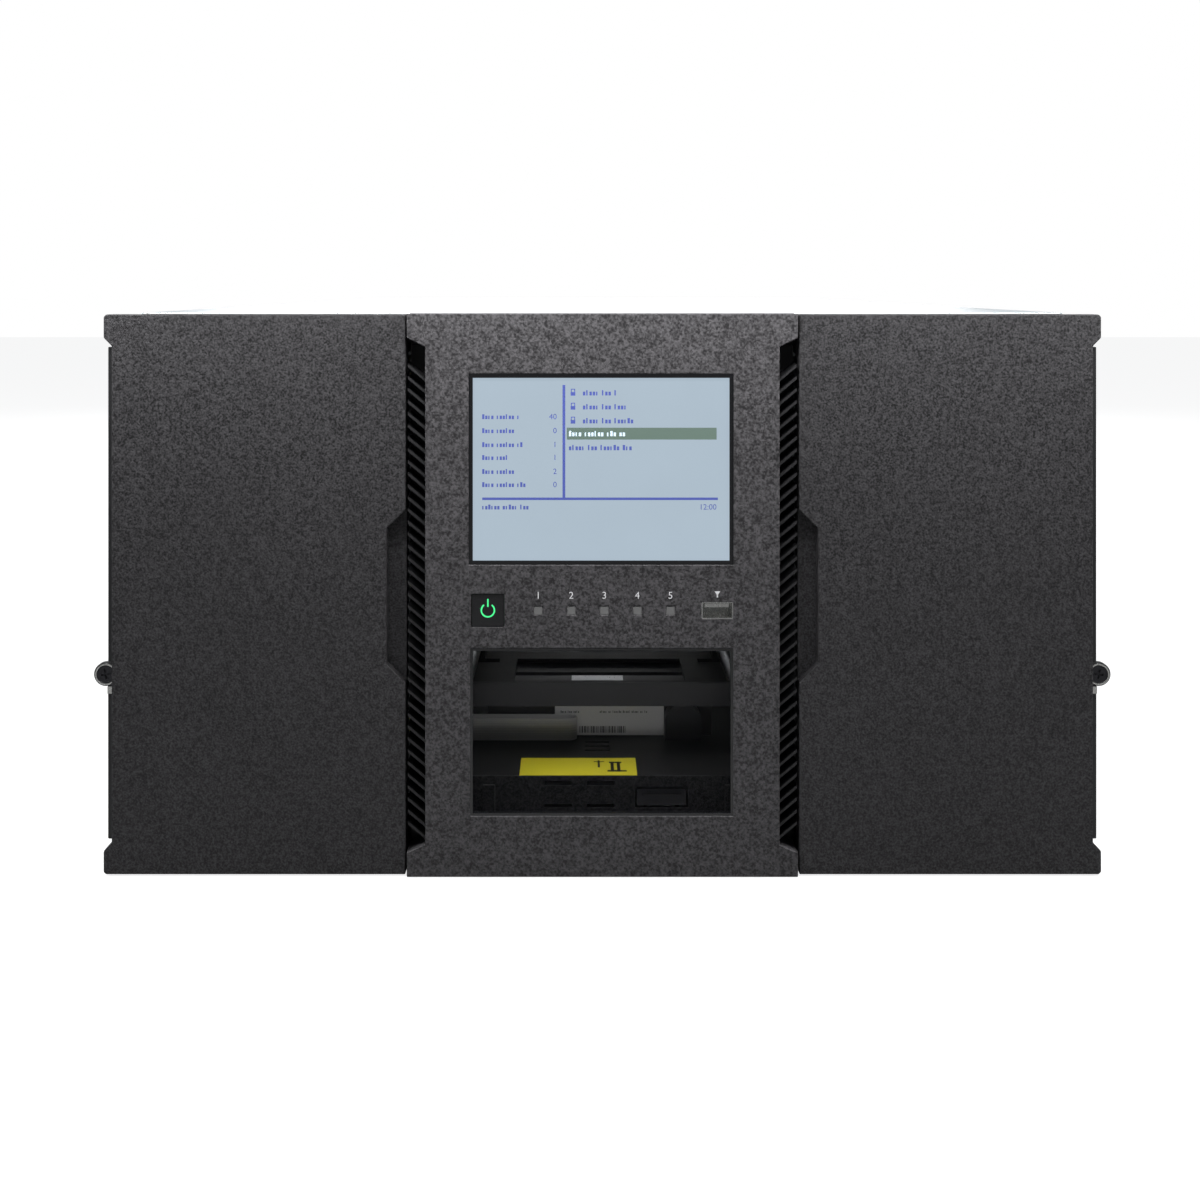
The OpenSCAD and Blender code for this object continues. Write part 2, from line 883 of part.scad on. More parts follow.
module flex_guide() {
    front = sled_y - 80;
    y0 = front - 9.8;
    color([0.7, 0.7, 0.7]) {
        translate([0, 0, floor_z + 1])
            linear_extrude(11.4)
                difference() {
                    union() {
                        translate([-68, y0])
                            square([51.3, 9]);
                        translate([-16.7, y0 + 4.5])
                            circle(r = 4.5);
                    }
                    translate([-69, y0 + 0.8])
                        square([52.3, 7.4]);
                    translate([-16.7, y0 + 4.5])
                        circle(r = 3.7);
                }
        span([-58, -50], [front - 0.8, front], [floor_z + 3, floor_z + 10]);
    }
}

module sled_label() {
    front = sled_y - 80;
    color([0.8, 0.8, 0.8])
        span([-24, 34.4], [front - 0.5, front], [floor_z + 1, floor_z + 18]);
}

module picker_frame() {
    z0 = floor_z + 1;
    z1 = floor_z + 25.6;
    y = [sled_y - 52, sled_y + 50];
    color([0.25, 0.25, 0.27]) {
        difference() {
            span([-52.6, 52.6], y, [z0, z0 + 2]);
            span([-16, 16], [sled_y - 80, sled_y + 60], [z0 - 1, z0 + 3]);
        }
        both()
            span([52.6, 54], y, [z0, z1]);
        span([-54, 54], y, [z1, z1 + 1.8]);
        translate([0, sled_y, z1 + 1.8])
            cylinder(r = hub_r, h = 4);
        translate([0, sled_y, plate_z + 2.4])
            cylinder(r = hub_r + 3, h = 1.4);
    }
}

module gripper_slide() {
    z0 = floor_z + 1;
    color([0.7, 0.71, 0.72])
        span([-15.6, 15.6], [sled_y - 74, sled_y + 40], [z0, z0 + 1.7]);
}

module gripper() {
    z0 = floor_z + 3.4;
    color([0.12, 0.12, 0.13]) {
        span([-22, 22], [sled_y - 74, sled_y - 58], [z0, z0 + 18]);
        both()
            span([15, 20], [sled_y - 58, sled_y - 43], [z0 + 4, z0 + 12]);
    }
}

// ---------- tape drive and its cage ----------

module drive_cage() {
    top = bay_z + bays * bay_pitch;
    color(steel) {
        both() {
            span([bay_x, bay_x + sheet], [drive_y - 2, y_back - sheet], [floor_z, top + sheet]);
            for (i = [1 : bays - 1])
                span([bay_x - 1.9, bay_x], [drive_y + 3, y_back - 6],
                    [bay_z + i * bay_pitch - 0.8, bay_z + i * bay_pitch]);
        }
        span([-bay_x, bay_x], [drive_y - 2, y_back - sheet], [top, top + sheet]);
    }
}

module drive_blanks() {
    color(steel)
        for (i = [1 : bays - 1]) {
            z = bay_z + i * bay_pitch;
            difference() {
                span([-bay_x - 0.5, bay_x + 0.5], [y_back, y_back + 1.5],
                    [z + 0.4, z + bay_pitch - 0.4]);
                for (x = [-60 : 10 : 60])
                    span([x - 3, x + 3], [y_back - 1, y_back + 3], [z + 10, z + 32]);
            }
            both()
                rod_y(3.5, drive_x - 1, z + bay_pitch / 2, y_back + 1.5, y_back + 8);
        }
}

module drive_body() {
    z0 = bay_z + 0.5;
    z1 = bay_z + bay_pitch - 1.3;
    color([0.6, 0.61, 0.62])
        difference() {
            span([-drive_x, drive_x], [drive_y, drive_y + drive_len], [z0, z1]);
            span([-53, 53], [drive_y - 1, drive_y + 118], [bay_z + 6.5, bay_z + 30]);
        }
}

module drive_sled() {
    z0 = bay_z + 0.5;
    z1 = bay_z + bay_pitch - 1;
    color(black) {
        span([-drive_x - 2.5, drive_x + 2.5], [y_back, y_back + 1.5], [z0, z1]);
        span([-drive_x, drive_x], [drive_y + drive_len, y_back], [z0, z1 - 0.5]);
        both()
            span([drive_x, drive_x + 1.2], [drive_y + 10, y_back], [z0, z1 - 0.5]);
    }
    color([0.3, 0.3, 0.32])
        difference() {
            span([-30, 30], [y_back + 1.5, y_rear], [z0 + 14, z0 + 24]);
            span([-24, 24], [y_back, y_rear - 5], [z0 + 13, z0 + 25]);
        }
}

// ---------- power supplies ----------

module power_cage() {
    x0 = psu_x - psu_w / 2 - 0.6;
    x1 = psu_x + psu_w / 2 + 0.6;
    y = [psu_y - 2, y_back - sheet];
    z1 = psu_z[1] + psu_h + 0.6;
    color(steel) {
        span([x0 - sheet, x0], y, [sheet, z1 + sheet]);
        span([x1, x1 + sheet], y, [sheet, z1 + sheet]);
        span([x0, x1], y, [z1, z1 + sheet]);
        span([x0, x1], y, [psu_z[1] - 0.6 - sheet, psu_z[1] - 0.6]);
        span([x0, x1], y, [psu_z[0] - 0.6 - sheet, psu_z[0] - 0.6]);
    }
}

module supply(z) {
    x0 = psu_x - psu_w / 2;
    x1 = psu_x + psu_w / 2;
    zc = z + psu_h / 2;
    color([0.62, 0.64, 0.65]) {
        difference() {
            span([x0, x1], [psu_y, y_back + 1], [z, z + psu_h]);
            rod_y(fan_r + 1, psu_x + fan_x, zc, y_back - 22, y_back + 5);
            centred(psu_x + inlet_x, zc, 27.6, 23.6, y_back - 20, y_back + 5);
        }
        for (a = [0, 60, 120])
            translate([psu_x + fan_x, y_back + 0.4, zc])
                rotate([0, a, 0])
                    cube([2 * fan_r + 2.6, 1.2, 1.4], center = true);
        rod_y(2, psu_x + fan_x, zc, y_back - 22, y_back - 18);
    }
    color(black)
        difference() {
            span([psu_x - 3, psu_x + 1], [y_back + 1, y_rear], [z + 4, z + psu_h - 4]);
            span([psu_x - 4, psu_x + 2], [y_back, y_rear - 5], [z + 9, z + psu_h - 9]);
        }
}

module upper_supply() {
    supply(psu_z[1]);
}

module lower_supply() {
    supply(psu_z[0]);
}

module inlet(z) {
    zc = z + psu_h / 2;
    color(black) {
        difference() {
            centred(psu_x + inlet_x, zc, 27.6, 23.6, y_back - 20, y_back + 2.2);
            centred(psu_x + inlet_x, zc, 23.6, 16.6, y_back - 16, y_back + 5);
        }
        for (x = [-7, 0, 7])
            centred(psu_x + inlet_x + x, zc + (x == 0 ? -3 : 1.5), 2, 4, y_back - 16, y_back - 1);
    }
}

module power_inlets_upper() {
    inlet(psu_z[1]);
}

module power_inlets_lower() {
    inlet(psu_z[0]);
}

module fan(z) {
    zc = z + psu_h / 2;
    color([0.1, 0.1, 0.1])
        translate([psu_x + fan_x, y_back - 17.5, zc])
            rotate([-90, 0, 0])
                difference() {
                    union() {
                        cylinder(r = 7, h = 14);
                        for (a = [0 : 7])
                            rotate([0, 0, a * 45])
                                translate([6, -0.8, 1])
                                    rotate([35, 0, 0])
                                        cube([fan_r - 6.6, 1.6, 11]);
                    }
                    translate([0, 0, -1])
                        cylinder(r = 2 + fit_gap, h = 4);
                }
}

module upper_fan() {
    fan(psu_z[1]);
}

module lower_fan() {
    fan(psu_z[0]);
}

// ---------- controller module ----------

module controller_module() {
    x0 = ctrl_x - ctrl_w / 2;
    x1 = ctrl_x + ctrl_w / 2;
    color([0.62, 0.64, 0.65]) {
        difference() {
            span([x0 - 2, x1 + 2], [y_back, y_back + 1.5], [ctrl_z - 2, ctrl_z + ctrl_h + 2]);
            for (i = [0, 1])
                centred(ctrl_x + 10 + 22 * i, ctrl_z + 14, 15.4, 12.4, y_back - 1, y_back + 3);
        }
        span([x0, x1], [ctrl_y, y_back], [ctrl_z, ctrl_z + 1.2]);
        span([x0, x0 + 1.2], [ctrl_y, y_back], [ctrl_z + 1.2, ctrl_z + ctrl_h]);
        span([x1 - 1.2, x1], [ctrl_y, y_back], [ctrl_z + 1.2, ctrl_z + ctrl_h]);
        for (x = [x0 + 6, x1 - 6])
            rod_y(4, x, ctrl_z + ctrl_h / 2 + 8, y_back + 1.5, y_back + 12);
    }
    color([0.05, 0.25, 0.14])
        span([x0 + 1.2, x1 - 1.2], [ctrl_y + 5, y_back - 20], [ctrl_z + 6, ctrl_z + 7.6]);
}

module network_ports() {
    color([0.3, 0.3, 0.32])
        for (i = [0, 1]) {
            x = ctrl_x + 10 + 22 * i;
            z = ctrl_z + 14;
            difference() {
                centred(x, z, 15.4, 12.4, y_back - 14, y_back + 2);
                centred(x, z, 12.2, 8.6, y_back - 11, y_back + 5);
            }
        }
}

base_pan();
side_panels();
top_cover();
rear_panel();
front_crossmember();
front_header();
aisle_posts();
robot_floor();
magazine_decks();
magazine_rails();
gear_racks();
main_board();
lock_label();
rack_ears();
screw_ferrules();
ear_clips();
front_bezel();
vent_strips();
window_pane();
window_frame();
display_frame();
display_panel();
display_board();
status_lamps();
usb_port();
power_button();
lock_lever();
left_captive_screw();
right_captive_screw();
left_magazine_panel();
right_magazine_panel();
left_magazine_tray();
right_magazine_tray();
left_magazine_ledges();
right_magazine_ledges();
carriage_frame();
carriage_rods();
lift_motor();
left_lift_shaft();
right_lift_shaft();
sled_frame();
sled_motor();
flex_guide();
sled_label();
picker_frame();
gripper_slide();
gripper();
drive_cage();
drive_blanks();
drive_body();
drive_sled();
power_cage();
upper_supply();
lower_supply();
power_inlets_upper();
power_inlets_lower();
upper_fan();
lower_fan();
controller_module();
network_ports();
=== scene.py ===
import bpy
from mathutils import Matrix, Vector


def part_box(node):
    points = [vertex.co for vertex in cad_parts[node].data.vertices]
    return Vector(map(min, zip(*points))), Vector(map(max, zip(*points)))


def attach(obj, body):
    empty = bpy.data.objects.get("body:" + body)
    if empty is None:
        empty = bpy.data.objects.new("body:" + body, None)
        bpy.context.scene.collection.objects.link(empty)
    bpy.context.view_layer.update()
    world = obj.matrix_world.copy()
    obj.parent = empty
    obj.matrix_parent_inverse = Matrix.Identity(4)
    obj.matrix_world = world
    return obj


bl_info = {
    "name": "Data tape library",
    "version": (1, 0, 0),
    "blender": (4, 5, 0),
    "location": "View3D > Sidebar > Tape Library",
    "description": "Dresses a rack-mounted tape library on its fixed frame",
    "category": "Object",
}

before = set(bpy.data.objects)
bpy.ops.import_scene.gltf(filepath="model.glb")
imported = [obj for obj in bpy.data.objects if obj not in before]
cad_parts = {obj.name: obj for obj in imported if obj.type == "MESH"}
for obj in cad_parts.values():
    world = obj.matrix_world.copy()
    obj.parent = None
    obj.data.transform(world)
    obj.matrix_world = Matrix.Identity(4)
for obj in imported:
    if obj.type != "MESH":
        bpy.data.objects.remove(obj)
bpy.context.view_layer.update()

import math

import bpy
from bpy.props import FloatProperty, FloatVectorProperty, IntProperty, PointerProperty
from bpy.types import Operator, Panel, PropertyGroup
from mathutils import Vector

MM = 0.001
FINISHES = {}


# ---------------------------------------------------------------- sizes and colours


def colour(name, description, default):
    return FloatVectorProperty(
        name=name, description=description, subtype="COLOR", size=3,
        min=0.0, max=1.0, default=default,
    )


def length(name, description, default):
    return FloatProperty(
        name=name, description=description, unit="LENGTH", precision=5,
        min=0.0, default=default,
    )


class LibrarySizes(PropertyGroup):
    edge_round: length("Edge rounding", "Radius on the moulded edges", 0.0005)
    sheet_round: length("Sheet edge", "Radius on cut sheet edges", 0.00025)
    print_height: length("Print height", "How far ink stands off its surface", 0.00006)
    numeral: length("Numeral height", "Height of the numbers above the lamps", 0.0033)
    symbol_radius: length("Symbol radius", "Radius of the power symbol's ring", 0.0031)
    symbol_line: length("Symbol line", "Line width of the power symbol", 0.0007)
    screw_radius: length("Case screw radius", "Radius of a pan-head screw on the case", 0.0029)
    grille_wire: length("Grille wire", "Wire radius of the fan grilles", 0.0006)
    grain: FloatProperty(
        name="Grain", description="Grain cells of the moulded plastic per metre",
        min=100.0, max=6000.0, default=1050.0,
    )
    lamps: IntProperty(name="Lamps", description="Number of status lamps", default=5, min=1)


class LibraryColours(PropertyGroup):
    panel: colour("Magazine panels", "Moulded plastic of the magazine panels", (0.030, 0.029, 0.031))
    bezel: colour("Centre bezel", "Moulded plastic of the centre bezel", (0.052, 0.050, 0.053))
    sheet: colour("Case sheet", "Satin sheet metal of the case", (0.33, 0.37, 0.39))
    screen: colour("Screen", "Lit ground of the display", (0.40, 0.49, 0.57))
    screen_ink: colour("Screen ink", "Characters on the display", (0.045, 0.06, 0.21))
    screen_select: colour("Screen selection", "Selected row on the display", (0.07, 0.10, 0.085))
    symbol: colour("Power symbol", "Lit power symbol", (0.05, 0.62, 0.20))
    yellow: colour("Yellow label", "Ground of the lock label", (0.90, 0.80, 0.035))


# ---------------------------------------------------------------- shader maths


class Maths:
    """A number socket that can be used in expressions."""

    def __init__(self, nodes, socket):
        self.nodes = nodes
        self.socket = socket

    def made(self, operation, a, b, clamp=False):
        settings = {"operation": operation, "use_clamp": clamp}
        return self.nodes.number("ShaderNodeMath", 0, settings, {0: a, 1: b})

    def __add__(self, other):
        return self.made("ADD", self, other)

    def __radd__(self, other):
        return self.made("ADD", other, self)

    def __sub__(self, other):
        return self.made("SUBTRACT", self, other)

    def __rsub__(self, other):
        return self.made("SUBTRACT", other, self)

    def __mul__(self, other):
        return self.made("MULTIPLY", self, other)

    def __rmul__(self, other):
        return self.made("MULTIPLY", other, self)

    def clamped(self):
        return self.made("ADD", self, 0.0, clamp=True)


class Tree:
    """A node tree that is filled through one node method."""

    def __init__(self, tree):
        self.tree = tree

    def put(self, socket, value):
        """Links a value's socket, or sets a plain number, vector or colour."""
        if isinstance(value, Maths):
            value = value.socket
        if isinstance(value, bpy.types.NodeSocket):
            self.tree.links.new(value, socket)
        elif isinstance(value, tuple) and socket.type == "RGBA":
            socket.default_value = (*value, 1.0)
        else:
            socket.default_value = value

    def node(self, kind, settings=None, sockets=None):
        """A new node: its settings first, then its sockets by name or number."""
        n = self.tree.nodes.new(kind)
        for key, value in (settings or {}).items():
            if key == "stops":
                for element, (at, tone) in zip(n.color_ramp.elements, value):
                    element.position = at
                    element.color = (tone, tone, tone, 1.0)
            else:
                setattr(n, key, value)
        for key, value in (sockets or {}).items():
            self.put(n.inputs[key], value)
        return n

    def number(self, kind, output, settings=None, sockets=None):
        """A new node's output as a number for expressions."""
        return Maths(self, self.node(kind, settings, sockets).outputs[output])


class Finish(Tree):
    """A material with a principled shader, built in object coordinates."""

    def __init__(self, name, tint, rough, metallic=0.0, **constants):
        self.material = bpy.data.materials.new(name)
        self.material.use_nodes = True
        super().__init__(self.material.node_tree)
        self.shader = self.tree.nodes["Principled BSDF"]
        self.set("Base Color", tint)
        self.set("Roughness", rough)
        self.set("Metallic", metallic)
        for key, value in constants.items():
            self.set(key.replace("_", " "), value)
        self.place = self.node("ShaderNodeTexCoord").outputs["Object"]
        FINISHES[name] = self.material

    def set(self, name, value):
        self.put(self.shader.inputs[name], value)

    def noise(self, scale, detail=2.0, roughness=0.5, vector=None):
        return self.number("ShaderNodeTexNoise", "Fac", None, {
            "Vector": vector or self.place, "Scale": scale, "Detail": detail,
            "Roughness": roughness})

    def cells(self, scale, feature="F1"):
        return self.number("ShaderNodeTexVoronoi", "Distance", {"feature": feature},
                           {"Vector": self.place, "Scale": scale})

    def stretched(self, x, y, z):
        """Object coordinates scaled by axis, for drawn or brushed lines."""
        n = self.node("ShaderNodeMapping", None, {"Scale": (x, y, z), "Vector": self.place})
        return n.outputs["Vector"]

    def band(self, value, stops):
        return self.number("ShaderNodeValToRGB", "Color", {"stops": stops}, {"Fac": value})

    def mixed(self, factor, a, b):
        return self.node("ShaderNodeMix", {"data_type": "RGBA"}, {0: factor, 6: a, 7: b}).outputs[2]

    def bump(self, height, strength, distance):
        n = self.node("ShaderNodeBump", None,
                      {"Height": height, "Strength": strength, "Distance": distance})
        self.set("Normal", n.outputs["Normal"])


def shade(c, factor):
    return tuple(min(1.0, v * factor) for v in c)


def grained(name, c, grain, rough=0.55, depth=0.00035, spark=0.9):
    """Moulded plastic with a fine spark-eroded grain and a faint cloudiness."""
    f = Finish(name, c, rough, Specular_IOR_Level=0.30)
    fine = f.noise(grain, 1.5, 0.65)
    broad = f.noise(grain * 0.45, 1.0, 0.5)
    cloud = f.noise(9.0, 3.0, 0.6)
    speck = f.band(fine * 0.7 + broad * 0.3, [(0.38, 0.0), (0.64, 1.0)])
    tone = (speck * spark + (1.0 - spark) * 0.5) * (cloud * 0.3 + 0.85)
    f.set("Base Color", f.mixed(tone.clamped(), shade(c, 0.30), shade(c, 1.75)))
    f.set("Roughness", (rough - 0.12) + speck * 0.2)
    f.bump(fine * 0.7 + broad * 0.3, 0.8, depth)


def sheet_metal(name, c, rough=0.36, metallic=0.55, lines=420.0):
    """Satin pre-coated sheet, faintly drawn along its length, with handling marks."""
    f = Finish(name, c, rough, metallic)
    drawn = f.noise(1.0, 3.0, 0.6, f.stretched(lines, 6.0, lines))
    marks = f.noise(14.0, 5.0, 0.65)
    smear = f.band(marks, [(0.45, 0.0), (0.72, 1.0)])
    f.set("Base Color", f.mixed((drawn * 0.5 + marks * 0.5).clamped(), shade(c, 0.86), shade(c, 1.10)))
    f.set("Roughness", (rough - 0.06) + drawn * 0.08 + smear * 0.12)
    f.bump(drawn, 0.10, 0.00005)


def coated(name, c, rough=0.45, peel=900.0):
    """Powder coat with orange peel."""
    f = Finish(name, c, rough)
    wear = f.noise(30.0, 4.0, 0.6)
    f.set("Base Color", f.mixed(wear.clamped(), shade(c, 0.75), shade(c, 1.35)))
    f.set("Roughness", (rough - 0.05) + wear * 0.14)
    f.bump(f.noise(peel, 2.0, 0.5), 0.25, 0.00008)


def ground(name, c, rough=0.28, lines=1500.0):
    """Bare or plated metal with fine grinding lines."""
    f = Finish(name, c, rough, 1.0)
    fine = f.noise(1.0, 2.0, 0.6, f.stretched(lines, 60.0, lines * 0.3))
    stain = f.noise(60.0, 4.0, 0.6)
    f.set("Base Color", f.mixed(stain.clamped(), shade(c, 0.82), shade(c, 1.08)))
    f.set("Roughness", (rough - 0.08) + fine * 0.16)
    f.bump(fine, 0.12, 0.00003)


def moulded(name, c, rough=0.5, scale=1100.0, strength=0.3):
    """Plain moulded plastic with a light texture and flow marks."""
    f = Finish(name, c, rough)
    fine = f.noise(scale, 2.0, 0.5)
    flow = f.noise(1.0, 3.0, 0.5, f.stretched(25.0, 25.0, 90.0))
    f.set("Base Color", f.mixed(flow.clamped(), shade(c, 0.8), shade(c, 1.25)))
    f.set("Roughness", (rough - 0.06) + fine * 0.14)
    f.bump(fine, strength, 0.00008)


def polished(name, c, rough=0.12):
    """Polished plastic or glass-like surface with dust and wiping marks."""
    f = Finish(name, c, rough, Coat_Weight=0.4, Coat_Roughness=0.06)
    wipe = f.noise(1.0, 4.0, 0.6, f.stretched(60.0, 60.0, 220.0))
    dust = f.band(f.cells(1400.0), [(0.0, 1.0), (0.10, 0.0)])
    f.set("Base Color", f.mixed((dust * 0.25).clamped(), c, (0.30, 0.30, 0.30)))
    f.set("Roughness", rough + wipe * 0.08 + dust * 0.2)
    f.bump(wipe, 0.04, 0.00004)


def inked(name, c, rough=0.55, glow=0.0):
    """Printed ink or a lit character."""
    f = Finish(name, c, rough)
    fine = f.noise(2600.0, 2.0, 0.5)
    f.set("Base Color", f.mixed(fine.clamped(), shade(c, 0.86), shade(c, 1.1)))
    if glow:
        f.set("Emission Color", c)
        f.set("Emission Strength", glow)


def make_finishes():
    s = bpy.context.scene.library_sizes
    c = bpy.context.scene.library_colours
    grained("panel plastic", tuple(c.panel), s.grain)
    grained("bezel plastic", tuple(c.bezel), s.grain * 0.9, 0.5)
    grained("shelf plastic", (0.028, 0.028, 0.031), s.grain, 0.5)
    moulded("vent plastic", (0.008, 0.008, 0.009), 0.55)
    polished("gloss black", (0.006, 0.006, 0.007))
    sheet_metal("case sheet", tuple(c.sheet))
    sheet_metal("inner sheet", (0.42, 0.44, 0.45), 0.4, 0.7, 260.0)
    coated("black coat", (0.012, 0.012, 0.013))
    ground("nickel plate", (0.62, 0.62, 0.60), 0.25)
    ground("ground steel", (0.50, 0.51, 0.53), 0.3)
    ground("black oxide", (0.055, 0.055, 0.06), 0.38)
    ground("blued recess", (0.42, 0.50, 0.55), 0.3)
    moulded("ledge plastic", (0.020, 0.020, 0.022))
    moulded("robot plastic", (0.022, 0.022, 0.026), 0.42)
    moulded("lever plastic", (0.05, 0.05, 0.055), 0.45)
    moulded("socket plastic", (0.016, 0.016, 0.017), 0.4)
    moulded("lamp lens", (0.155, 0.155, 0.155), 0.3, 700.0, 0.15)
    # the flat cable: grey film with fine conductors along it
    f = Finish("flex film", (0.50, 0.50, 0.50), 0.45)
    tracks = f.band(f.noise(1.0, 0.0, 0.5, f.stretched(1.0, 1.0, 1600.0)), [(0.45, 0.0), (0.55, 1.0)])
    f.set("Base Color", f.mixed(tracks * 0.35, (0.52, 0.52, 0.52), (0.30, 0.30, 0.30)))
    f.bump(tracks, 0.2, 0.00005)
    # circuit board: solder mask over copper tracks
    f = Finish("board mask", (0.01, 0.08, 0.035), 0.32, Coat_Weight=0.5)
    tracks = f.band(f.cells(260.0, "DISTANCE_TO_EDGE"), [(0.02, 1.0), (0.05, 0.0)])
    f.set("Base Color", f.mixed(tracks * 0.6, (0.008, 0.070, 0.030), (0.03, 0.16, 0.07)))
    f.bump(tracks, 0.25, 0.00006)
    # display glass: lit ground with faint mottling and fine dots
    f = Finish("screen ground", tuple(c.screen), 0.14, Coat_Weight=0.3)
    mottled = f.noise(40.0, 3.0, 0.5)
    dots = f.cells(1800.0)
    tone = (mottled * 0.5 + 0.25 + dots * 0.15).clamped()
    lit = f.mixed(tone, shade(tuple(c.screen), 0.93), shade(tuple(c.screen), 1.05))
    f.set("Base Color", (0.02, 0.022, 0.025))
    f.set("Emission Color", lit)
    f.set("Emission Strength", 1.0)
    # window: tinted, nearly clear, with dust on it
    f = Finish("window tint", (0.02, 0.02, 0.022), 0.08, Specular_IOR_Level=0.35)
    dust = f.band(f.cells(330.0), [(0.0, 1.0), (0.07, 0.0)])
    film = f.noise(24.0, 4.0, 0.6)
    f.set("Alpha", (0.07 + film * 0.03 + dust * 0.25).clamped())
    f.set("Base Color", f.mixed(dust * 0.5, (0.004, 0.004, 0.0045), (0.20, 0.20, 0.20)))
    f.material.surface_render_method = "BLENDED"
    # label films
    for name, c1 in (("yellow film", tuple(c.yellow)), ("white film", (0.62, 0.62, 0.62))):
        f = Finish(name, c1, 0.4)
        fibre = f.noise(700.0, 3.0, 0.6)
        f.set("Base Color", f.mixed(fibre.clamped(), shade(c1, 0.93), shade(c1, 1.05)))
        f.set("Roughness", 0.34 + fibre * 0.14)
        f.bump(fibre, 0.08, 0.00003)
    inked("black ink", (0.012, 0.012, 0.012))
    inked("white ink", (0.72, 0.72, 0.74))
    inked("grey ink", (0.10, 0.10, 0.105))
    inked("screen ink", tuple(c.screen_ink), 0.3, 1.0)
    inked("screen selection", tuple(c.screen_select), 0.3, 1.0)
    inked("screen paper", tuple(c.screen), 0.3, 1.0)
    inked("power green", tuple(c.symbol), 0.3, 0.9)
    inked("contact gold", (0.75, 0.55, 0.22), 0.3)


# ---------------------------------------------------------------- modelling help


def calm():
    """Object mode with nothing selected."""
    if bpy.context.mode != "OBJECT":
        bpy.ops.object.mode_set(mode="OBJECT")
    bpy.ops.object.select_all(action="DESELECT")


def settle(name, finish, body):
    """Names the active object, brings it to the origin, gives its finish and body."""
    if bpy.context.mode != "OBJECT":
        bpy.ops.object.mode_set(mode="OBJECT")
    o = bpy.context.object
    o.name = name
    o.data.name = name
    bpy.ops.object.transform_apply(location=True, rotation=True, scale=True)
    o.data.materials.clear()
    o.data.materials.append(FINISHES[finish])
    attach(o, body)
    return o


def start_plane(at, size, facing):
    """A flat card at its place: facing is FRONT, BACK or UP; size is across and up."""
    turn = {"FRONT": (math.pi / 2, 0, 0), "BACK": (math.pi / 2, 0, math.pi), "UP": (0, 0, 0)}[facing]
    bpy.ops.mesh.primitive_plane_add(size=1.0, location=at, rotation=turn)
    value = (size[0], size[1], 1.0) if facing == "UP" else (size[0], 1.0, size[1])
    if bpy.context.mode == "OBJECT":
        bpy.ops.object.mode_set(mode="EDIT")
    bpy.ops.transform.resize(value=value, center_override=at)


def cards(name, finish, body, facing, places):
    """Many flat cards in one piece; places are (at, size)."""
    calm()
    for at, size in places:
        if bpy.context.mode == "EDIT_MESH":
            bpy.ops.mesh.select_all(action="DESELECT")
        start_plane(at, size, facing)
    return settle(name, finish, body)


def block(lo, hi):
    """A box-shaped start between two corners, left in edit mode with all selected."""
    lo, hi = Vector(lo), Vector(hi)
    at = (lo + hi) / 2
    if bpy.context.mode == "EDIT_MESH":
        bpy.ops.mesh.select_all(action="DESELECT")
    bpy.ops.mesh.primitive_cube_add(size=1.0, location=at)
    if bpy.context.mode == "OBJECT":
        bpy.ops.object.mode_set(mode="EDIT")
    bpy.ops.transform.resize(value=tuple(hi - lo), center_override=tuple(at))


def rounded(o, width, segments=2, angle=40.0):
    """Bevels an own piece for good."""
    m = o.modifiers.new("round", "BEVEL")
    m.width = width
    m.segments = segments
    m.limit_method = "ANGLE"
    m.angle_limit = math.radians(angle)
    with bpy.context.temp_override(object=o, active_object=o):
        bpy.ops.object.modifier_apply(modifier=m.name)


def soften(node, width, segments=2):
    """Adds a live bevel to a carried-over node."""
    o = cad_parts[node]
    w = o.modifiers.new("weld", "WELD")
    w.merge_threshold = 0.000002
    m = o.modifiers.new("edge", "BEVEL")
    m.width = width
    m.segments = segments
    m.limit_method = "ANGLE"
    m.angle_limit = math.radians(35.0)


def paint(node, finish):
    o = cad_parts[node]
    if not o.material_slots:
        o.data.materials.append(FINISHES[finish])
    for s in o.material_slots:
        s.material = FINISHES[finish]


def joined(objects, name, finish, body):
    calm()
    for o in objects:
        o.select_set(True)
    bpy.context.view_layer.objects.active = objects[0]
    if len(objects) > 1:
        bpy.ops.object.join()
    return settle(name, finish, body)


def words(text, at, height, facing="FRONT", align="CENTER"):
    """Numerals as a mesh, standing at a place."""
    calm()
    turn = {"FRONT": (math.pi / 2, 0, 0), "UP": (0, 0, 0)}[facing]
    bpy.ops.object.text_add(location=at, rotation=turn)
    o = bpy.context.object
    o.data.body = text
    o.data.size = height / 0.7
    o.data.align_x = align
    o.data.resolution_u = 4
    bpy.ops.object.convert(target="MESH")
    return bpy.context.object


# ---------------------------------------------------------------- operators


class LIBRARY_OT_case(Operator):
    """Give the case and its inner sheets their finishes and edges"""

    bl_idname = "library.case"
    bl_label = "Case"

    def execute(self, context):
        s = context.scene.library_sizes
        for node in ("base_pan", "side_panels", "top_cover", "rear_panel"):
            paint(node, "case sheet")
        for node in ("magazine_decks", "drive_cage", "power_cage", "drive_blanks"):
            paint(node, "inner sheet")
        for node in ("front_header", "aisle_posts", "robot_floor", "rack_ears"):
            paint(node, "black coat")
        paint("front_crossmember", "shelf plastic")
        paint("magazine_rails", "ground steel")
        paint("gear_racks", "ground steel")
        for node in ("main_board", "display_board"):
            paint(node, "board mask")
        for node in ("top_cover", "base_pan", "rear_panel", "drive_blanks", "side_panels"):
            soften(node, s.sheet_round, 2)
        soften("rack_ears", 0.0004, 2)
        soften("front_crossmember", 0.0003, 2)
        return {"FINISHED"}


